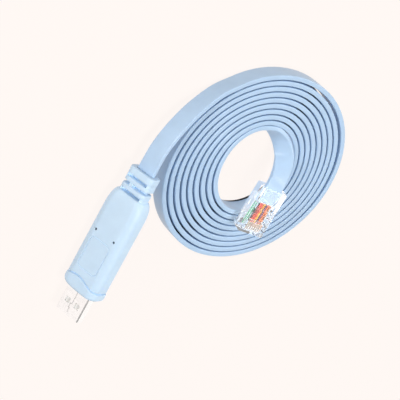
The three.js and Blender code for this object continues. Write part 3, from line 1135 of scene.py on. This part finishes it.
@dataclass
class ModularPlug:
    """The clear 8-way plug with its latch, its gold blades and the coloured conductors inside."""

    centre: Point = (32.6, -61.0, 13.7)
    pitch: float = 4.0
    roll: float = -11.5
    length: float = 21.5
    width: float = 11.7
    thickness: float = 6.6
    nose_step: float = 0.6
    nose_length: float = 6.5
    entry_depth: float = 7.4
    entry_run_up: float = 1.5
    entry_width: float = 8.7
    entry_height: float = 3.1
    wire_height: float = 0.3
    wire_count: int = 8
    wire_pitch: float = 1.02
    wire_diameter: float = 0.9
    wire_length: float = 11.6
    wire_steps: int = 14
    wire_sides: int = 16
    wire_wobble: float = 0.05
    wire_bunch: float = 0.04
    wire_room: float = 0.15
    blade: Point = (4.0, 0.35, 2.2)
    blade_from_front: float = 1.3
    blade_crease: float = 35.0
    slot_extra: float = 0.15
    window: Pair = (3.4, 8.6)
    window_from_rear: float = 6.4
    window_depth: float = 1.2
    relief_run: Pair = (6.4, 9.6)
    relief_width: float = 8.9
    relief_depth: float = 0.7
    latch_width: float = 6.0
    latch_tip_width: float = 3.2
    latch_thickness: float = 1.0
    latch_length: float = 14.0
    latch_shoulder: float = 7.7
    latch_taper: float = 0.7
    latch_spread: float = 2.6
    latch_root: Pair = (1.0, 3.4)
    edge: float = 0.16
    edge_steps: int = 3
    edge_angle: float = 40.0

    @property
    def place(self) -> Matrix:
        """The plug's frame: x from its front face to its rear, z towards the contacts."""
        roll = Matrix.Rotation(math.radians(self.roll), 4, "X")
        turned = roll @ Matrix.Rotation(math.radians(-self.pitch), 4, "Y")
        front = Matrix.Translation((-self.length / 2 * MM, 0, 0))
        return Matrix.Translation(Vector(self.centre) * MM) @ turned @ front

    @property
    def jacket_end(self) -> float:
        """Where the ribbon's jacket ends in the plug, from its front face."""
        return self.length - self.entry_depth

    def at(self, x: float, y: float, z: float) -> Vector:
        """A point of the plug's frame, in metres in the scene."""
        return self.place @ (Vector((x, y, z)) * MM)

    def entry_points(self) -> list[RoutePoint]:
        """The ribbon's last points, on its way into the plug's pocket."""
        points = []
        for x in (self.length + self.entry_run_up, self.jacket_end + 0.3):
            points.append((*(self.at(x, 0, self.wire_height) / MM), -QUARTER_TURN - self.roll))
        return points

    def wire_y(self, index: int) -> float:
        """Place of a conductor across the plug."""
        return (index - (self.wire_count - 1) / 2) * self.wire_pitch

    def row(self, name: str, along: float, up: float, master: Object) -> Object:
        """Repeats a small part once for each conductor, across the plug.

        Args:
            name: Name of the piece.
            along: Distance from the front face.
            up: Height over the plug's middle.
            master: The part to repeat, made round the origin in the plug's axes, which is removed.

        Returns:
            The row as one plain mesh.
        """
        nodes = NodeTree(name)
        count = nodes.size("Count", self.wire_count)
        line = nodes.add("GeometryNodeMeshLine", mode="OFFSET")
        line.inputs["Start Location"].default_value = self.at(along, self.wire_y(0), up)
        line.inputs["Offset"].default_value = self.place.to_3x3() @ Vector((0, self.wire_pitch * MM, 0))
        nodes.link(count, line.inputs["Count"])
        spots = nodes.add("GeometryNodeInstanceOnPoints")
        part = nodes.add("GeometryNodeObjectInfo")
        part.inputs["Object"].default_value = master
        nodes.link(line.outputs["Mesh"], spots.inputs["Points"])
        nodes.link(part.outputs["Geometry"], spots.inputs["Instance"])
        nodes.close(spots.outputs["Instances"], master.data.materials[0])
        row = nodes.apply(bpy.data.meshes.new(name))
        bpy.data.objects.remove(master)
        return row

    def plate(self, name: str, outline: Sequence[Pair], half: float, finish: Finish) -> Object:
        """A flat plate whose outline lies along and through the plug, centred on the origin.

        Args:
            name: Name of the plate.
            outline: Its corners as x and z, counter-clockwise seen from one side.
            half: Half its thickness across the plug.
            finish: Its material.

        Returns:
            The plate, turned into the plug's axes.
        """
        turned = self.place.to_3x3()
        points = [turned @ (Vector((x, y, z)) * MM) for y in (-half, half) for x, z in outline]
        mesh = mesh_of(name, points, prism_faces(len(outline)))
        mesh.materials.append(finish)
        mesh.set_sharp_from_angle(angle=math.radians(self.blade_crease))
        return shown(mesh)

    def blades(self, finish: Finish) -> Object:
        """The eight gold blades, each with a rounded crown and two piercing teeth."""
        length, wide, high = self.blade
        half, tooth, gap = length / 2, high * 0.34, 0.1
        outline = [
            (-half, -high / 2 + tooth),
            (-half + 0.5, -high / 2),
            (-half + 1.1, -high / 2 + tooth),
            (half - 1.1, -high / 2 + tooth),
            (half - 0.5, -high / 2),
            (half, -high / 2 + tooth),
            (half, high / 2 - 0.3),
            (half - 0.3, high / 2),
            (-half + 0.9, high / 2),
            (-half + 0.3, high / 2 - 0.2),
            (-half, high / 2 - 0.7),
        ]
        master = self.plate("blade", outline, wide / 2, finish)
        up = self.thickness / 2 - self.slot_extra - high / 2 - gap
        return self.row("contact_blades", self.blade_from_front + half, up, master)

    def slots(self) -> Object:
        """The cutter for the eight slots over the blades."""
        length, wide, high = self.blade
        half, top = length / 2 + self.slot_extra, high + 1.0
        outline = [(-half, 0.0), (half, 0.0), (half, top), (-half, top)]
        master = self.plate("slot", outline, wide / 2 + self.slot_extra, Skin("slot_cutter").material)
        up = self.thickness / 2 - high - self.slot_extra
        return self.row("slot_row", self.blade_from_front + length / 2, up, master)

    def conductor(self, index: int, finish: Finish) -> Object:
        """One insulated conductor from the jacket to its blade.

        Args:
            index: Number of the conductor across the plug.
            finish: Its material.

        Returns:
            The piece.
        """
        points = []
        for i in range(self.wire_steps + 1):
            share = i / self.wire_steps
            wobble = self.wire_wobble * math.sin(share * 5 + index * 1.7)
            bunch = 1 - self.wire_bunch * max(0.0, 1 - 3 * share)
            y = self.wire_y(index) * bunch + wobble * 0.4
            points.append(self.at(self.jacket_end - share * self.wire_length, y, self.wire_height + wobble))
        name = f"conductor_{index + 1}"
        nodes = NodeTree(name)
        radius = nodes.size("Radius", self.wire_diameter / 2 * MM)
        circle = nodes.add("GeometryNodeCurvePrimitiveCircle")
        circle.inputs["Resolution"].default_value = self.wire_sides
        nodes.link(radius, circle.inputs["Radius"])
        nodes.sweep(nodes.curve(), circle.outputs["Curve"], finish)
        return nodes.apply(line_of(name, points))

    def box(self, name: str, x: Pair, width: float, z: Pair) -> Object:
        """A box in the plug's frame, centred across it."""
        return block(name, (x[0], -width / 2, z[0]), (x[1], width / 2, z[1]), self.place)

    def latch(self) -> Object:
        """The latch tab under the plug, hinged at its front end."""
        wide, narrow = self.latch_width / 2, self.latch_tip_width / 2
        side = [
            (0.0, wide),
            (self.latch_shoulder, wide),
            (self.latch_shoulder + self.latch_taper, narrow),
            (self.latch_length, narrow),
        ]
        outline = [(x, -y) for x, y in side] + side[::-1]
        top = -self.thickness / 2 + self.nose_step
        slope = self.latch_spread / self.latch_length
        start = self.latch_root[0]
        drops = (0.0, self.latch_thickness)
        points = [self.at(start + x, y, top - slope * x - drop) for drop in drops for x, y in outline]
        return shown(mesh_of("latch", points, prism_faces(len(outline))))

    def body(self, finish: Finish, edge_highlight_finish: Finish) -> Object:
        """The clear body with its pocket, channel, slots, window and latch, moulded in one.

        Args:
            finish: The clear material.
            edge_highlight_finish: The same plastic on the bevelled edges, rougher and less clear, with a
                painted highlight glow.

        Returns:
            The piece.
        """
        half, past = self.thickness / 2, 1.0
        rear, height = self.jacket_end, self.wire_height
        tall, channel = self.entry_height / 2, self.wire_diameter / 2 + self.wire_room
        span = self.wire_count * self.wire_pitch + self.wire_room
        window_end = self.length - self.window_from_rear
        above = half + past
        piece = self.box("clear_plug", (0, self.length), self.width, (-half, half))
        pocket = (rear, self.length + past)
        run = (rear - self.wire_length - 0.3, rear + 0.5)
        crimp = (window_end - self.window[0], window_end)
        cutters = [
            self.box("pocket", pocket, self.entry_width, (height - tall, height + tall)),
            self.box("channel", run, span, (height - channel, height + channel)),
            self.box("nose", (-past, self.nose_length), self.width + 2, (-above, -half + self.nose_step)),
            self.box("crimp", crimp, self.window[1], (half - self.window_depth, above)),
            self.box("front_relief", self.relief_run, self.relief_width, (half - self.relief_depth, above)),
            self.slots(),
        ]
        carve(piece, cutters)
        root_low = -half - self.latch_thickness + self.nose_step
        root = self.box("latch_root", self.latch_root, self.latch_width, (root_low, root_low + 2))
        carve(piece, [self.latch(), root], "UNION")
        dress(piece, finish, edge_highlight_finish)
        soft = piece.modifiers.new("soft_edges", "BEVEL")
        soft.width = self.edge * MM
        soft.segments = self.edge_steps
        soft.limit_method = "ANGLE"
        soft.angle_limit = math.radians(self.edge_angle)
        soft.harden_normals = True
        # The bevel faces take the edge material with its painted highlight glow.
        soft.material = 1
        return baked(piece)


# Stage


@dataclass
class Studio:
    """A pale floor, soft light from above and the camera."""

    eye: Point = (230.22, 434.87, 508.27)
    right: Point = (0.46567, -0.73191, 0.49745)
    above: Point = (0.8384, 0.18496, -0.51272)
    back: Point = (0.28325, 0.65582, 0.69976)
    focal_pixels: float = 1750.0
    image_pixels: float = 400.0
    sensor: float = 36.0
    reach: Pair = (0.05, 20.0)
    floor_colour: Point = (1.0, 0.94, 0.905)
    floor_half: float = 3000.0
    floor_matte: float = 0.05
    floor_glow: Pair = (0.95, 0.5)
    coil_centre: Pair = (46.6, -52.0)
    coil_shadow_reach: Pair = (19.5, 42.0)
    lamps: tuple[tuple[str, Point, float, float], ...] = (
        ("overhead", (40.0, -40.0, 900.0), 300.0, 5.0),
        ("right", (450.0, -640.0, 520.0), 300.0, 1.6),
        ("front", (330.0, 820.0, 320.0), 400.0, 3.3),
    )
    lamp_colour: Point = (1.0, 0.99, 0.98)
    aim: Point = (30.0, -40.0, 0.0)
    wall_colour: Point = (1.0, 0.965, 0.93)
    wall_fade: Pair = (0.2, 0.5)
    wall_light: Pair = (0.95, 0.1)
    mirrored_light: float = 0.22

    def camera(self) -> None:
        """Sets the camera at the viewing angle, from the view's own axes."""
        data = bpy.data.cameras.new("camera")
        data.sensor_width = self.sensor
        data.lens = self.sensor * self.focal_pixels / self.image_pixels
        data.clip_start, data.clip_end = self.reach
        eye = bpy.data.objects.new("camera", data)
        axes = Matrix((self.right, self.above, self.back)).transposed().to_4x4()
        eye.matrix_world = Matrix.Translation(Vector(self.eye) * MM) @ axes
        bpy.context.scene.collection.objects.link(eye)
        bpy.context.scene.camera = eye

    def floor(self) -> None:
        """Lays the pale floor, which glows so that shadows stay faint, and whose glow is cut away in a ring
        right under the coil as a painted shadow.
        """
        h = self.floor_half * MM
        mesh = mesh_of("floor", [(-h, -h, 0), (h, -h, 0), (h, h, 0), (-h, h, 0)], [(0, 1, 2, 3)])
        values = {
            "Base Color": shade(self.floor_colour, self.floor_matte),
            "Roughness": 0.9,
            "Specular IOR Level": 0.0,
            "Emission Color": (*self.floor_colour, 1),
        }
        skin = Skin("pale_floor", values)
        tree = skin.tree
        place = tree.nodes.new("ShaderNodeTexCoord")
        away = tree.nodes.new("ShaderNodeVectorMath")
        away.operation = "DISTANCE"
        away.inputs[1].default_value = (self.coil_centre[0] * MM, self.coil_centre[1] * MM, 0)
        tree.links.new(place.outputs["Object"], away.inputs[0])
        # Painted shadow: the floor's glow is taken away in a ring under the coil, so it stays dark there.
        inside, outside = self.coil_shadow_reach
        shadow_band = ((inside + outside) / 2 * MM, (outside - inside) / 2 * MM)
        painted_coil_shadow = arithmetic(tree, "COMPARE", away.outputs["Value"], *shadow_band)
        path = tree.nodes.new("ShaderNodeLightPath")
        seen, cast = self.floor_glow
        less = arithmetic(tree, "MULTIPLY", path.outputs["Is Diffuse Ray"], seen - cast)
        glow = arithmetic(tree, "SUBTRACT", seen, less)
        lit = arithmetic(tree, "SUBTRACT", glow, painted_coil_shadow, clamp=True)
        tree.links.new(lit, skin.shader.inputs["Emission Strength"])
        mesh.materials.append(skin.material)
        shown(mesh)

    def lamp(self, name: str, at: Point, size: float, watts: float) -> None:
        """Hangs one soft square lamp that faces the cable.

        Args:
            name: Name of the lamp.
            at: Its place, in millimetres.
            size: Side of its square, in millimetres.
            watts: Its power.
        """
        data = bpy.data.lights.new(name, "AREA")
        data.shape = "SQUARE"
        data.size = size * MM
        data.energy = watts
        data.color = self.lamp_colour
        lamp = bpy.data.objects.new(name, data)
        lamp.location = Vector(at) * MM
        lamp.rotation_mode = "QUATERNION"
        lamp.rotation_quaternion = ((Vector(self.aim) - Vector(at)) * MM).to_track_quat("-Z", "Y")
        bpy.context.scene.collection.objects.link(lamp)

    def surround(self) -> None:
        """A pale surround, brightest low down and brighter where it is mirrored or seen through plastic."""
        world = bpy.data.worlds.new("surround")
        world.use_nodes = True
        tree = world.node_tree
        direction = tree.nodes.new("ShaderNodeTexCoord")
        parts = tree.nodes.new("ShaderNodeSeparateXYZ")
        fade = tree.nodes.new("ShaderNodeMapRange")
        fade.interpolation_type = "SMOOTHSTEP"
        limits = ("From Min", "From Max", "To Min", "To Max")
        for name, value in zip(limits, (*self.wall_fade, *self.wall_light)):
            fade.inputs[name].default_value = value
        tree.links.new(direction.outputs["Generated"], parts.inputs["Vector"])
        tree.links.new(parts.outputs["Z"], fade.inputs["Value"])
        path = tree.nodes.new("ShaderNodeLightPath")
        rays = (path.outputs["Is Glossy Ray"], path.outputs["Is Transmission Ray"])
        mirrored = arithmetic(tree, "MAXIMUM", *rays)
        light = arithmetic(tree, "MULTIPLY_ADD", mirrored, self.mirrored_light, fade.outputs["Result"])
        background = tree.nodes["Background"]
        background.inputs["Color"].default_value = (*self.wall_colour, 1)
        tree.links.new(light, background.inputs["Strength"])
        bpy.context.scene.world = world

    def build(self) -> None:
        """Sets up everything round the cable."""
        self.floor()
        for lamp in self.lamps:
            self.lamp(*lamp)
        self.surround()
        bpy.context.scene.view_settings.view_transform = "Standard"


CONDUCTOR_COLOURS: tuple[tuple[str, Point], ...] = (
    ("tan", (0.55, 0.24, 0.12)),
    ("orange", (0.85, 0.16, 0.03)),
    ("violet", (0.12, 0.03, 0.12)),
    ("yellow", (0.9, 0.42, 0.02)),
    ("vermilion", (0.75, 0.08, 0.03)),
    ("red", (0.5, 0.03, 0.02)),
    ("black", (0.01, 0.01, 0.012)),
    ("green", (0.04, 0.4, 0.2)),
)


def place_piece(piece: Object, replaced: Sequence[str]) -> None:
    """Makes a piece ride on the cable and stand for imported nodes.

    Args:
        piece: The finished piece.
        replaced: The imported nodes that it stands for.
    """
    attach(piece, BODY)
    if replaced:
        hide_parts(*replaced)
    log.info("%s: %d faces", piece.name, len(piece.data.polygons))


def main() -> None:
    """Builds the cable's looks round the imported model."""
    logging.basicConfig(level=logging.INFO, format="%(name)s: %(message)s")
    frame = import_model()
    nodes = frame["nodes"]
    studio = Studio()
    studio.camera()
    finishes = Finishes()

    modular = ModularPlug()
    cable = RibbonCable()
    ribbon, path = cable.build(modular.entry_points(), finishes.jacket)
    place_piece(ribbon, ("cable_tail", "cable_coil", "cable_lead"))

    body = modular.body(finishes.clear, finishes.clear_edge_highlight)
    place_piece(body, ("rj45_body",))
    blades = modular.blades(finishes.gold)
    place_piece(blades, [f"rj45_contact_{i + 1}" for i in range(modular.wire_count)])
    for index, (name, colour) in enumerate(CONDUCTOR_COLOURS):
        finish = SoftPlastic(f"conductor_{name}", colour, roughness=0.35, glow=0.0).material()
        wire = modular.conductor(index, finish)
        place_piece(wire, (f"wire_{index + 1}",))

    usb = UsbPlug()
    usb.settle()
    place_piece(usb.housing(finishes.housing), ("plug_housing",))
    place_piece(usb.lenses(finishes.lens), ())
    place_piece(usb.shell(finishes.steel), ("usb_shell",))
    dress(nodes["usb_tongue"], finishes.insulator)
    for number in range(1, 5):
        dress(nodes[f"usb_contact_{number}"], finishes.gold)

    studio.build()


if __name__ == "__main__":
    main()
